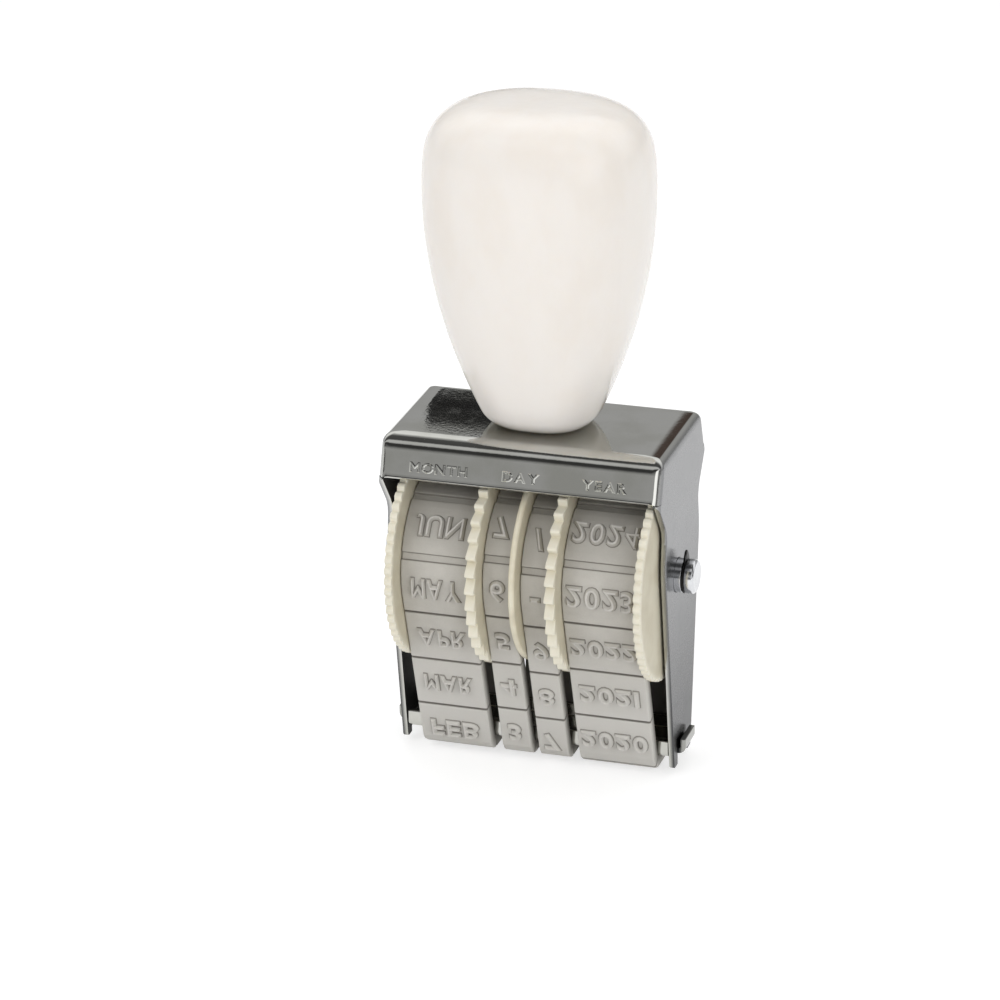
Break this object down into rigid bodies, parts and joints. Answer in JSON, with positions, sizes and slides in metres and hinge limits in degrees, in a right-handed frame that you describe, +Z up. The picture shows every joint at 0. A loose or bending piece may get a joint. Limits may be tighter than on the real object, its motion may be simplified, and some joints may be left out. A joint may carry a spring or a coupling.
{
  "type": "date stamp",
  "caption": "Hand date stamp: folded chrome frame, moulded handle, toothed setting wheels on an axle and rubber type bands that run round a printing bar at the bottom.",
  "frame": {"origin": "middle of the printing face: on the frame's mid-planes, at the level of the type faces that meet the paper", "axes": "+Z up along the handle, +X to the right along the axle, -Y towards the side from which the wheels are turned"},
  "size_m": [0.0444, 0.0304, 0.0953],
  "materials": {
    "chrome_sheet": "bright nickel or chrome plate on folded sheet",
    "chrome_axle": "bright turned rod",
    "handle_plastic": "glossy milky white moulding",
    "wheel_plastic": "satin ivory moulding",
    "band_rubber": "matte warm grey rubber",
    "black_steel": "blackened spring steel",
    "zinc_steel": "zinc plated"
  },
  "bodies": {
    "frame": {"frame": "chrome_sheet", "handle": "handle_plastic", "handle_screw": "zinc_steel", "handle_washer": "zinc_steel", "axle": "chrome_axle", "axle_clip_left": "black_steel", "axle_clip_right": "black_steel", "platen": "chrome_sheet", "month_band": "band_rubber", "day_tens_band": "band_rubber", "day_units_band": "band_rubber", "year_band": "band_rubber"},
    "month_wheel": {"month_wheel": "wheel_plastic"},
    "day_tens_wheel": {"day_tens_wheel": "wheel_plastic"},
    "divider_disc": {"divider_disc": "wheel_plastic"},
    "day_units_wheel": {"day_units_wheel": "wheel_plastic"},
    "year_wheel": {"year_wheel": "wheel_plastic"}
  },
  "joints": [
    {"name": "month_wheel_turn", "type": "hinge", "parent": "frame", "child": "month_wheel", "pos_m": [-0.0169, -0.0026, 0.0298], "axis": [1, 0, 0], "continuous": true},
    {"name": "day_tens_wheel_turn", "type": "hinge", "parent": "frame", "child": "day_tens_wheel", "pos_m": [-0.0054, -0.0026, 0.0298], "axis": [1, 0, 0], "continuous": true},
    {"name": "divider_disc_turn", "type": "hinge", "parent": "frame", "child": "divider_disc", "pos_m": [0.0003, -0.0026, 0.0298], "axis": [1, 0, 0], "continuous": true},
    {"name": "day_units_wheel_turn", "type": "hinge", "parent": "frame", "child": "day_units_wheel", "pos_m": [0.0059, -0.0026, 0.0298], "axis": [1, 0, 0], "continuous": true},
    {"name": "year_wheel_turn", "type": "hinge", "parent": "frame", "child": "year_wheel", "pos_m": [0.0184, -0.0026, 0.0298], "axis": [1, 0, 0], "continuous": true}
  ]
}
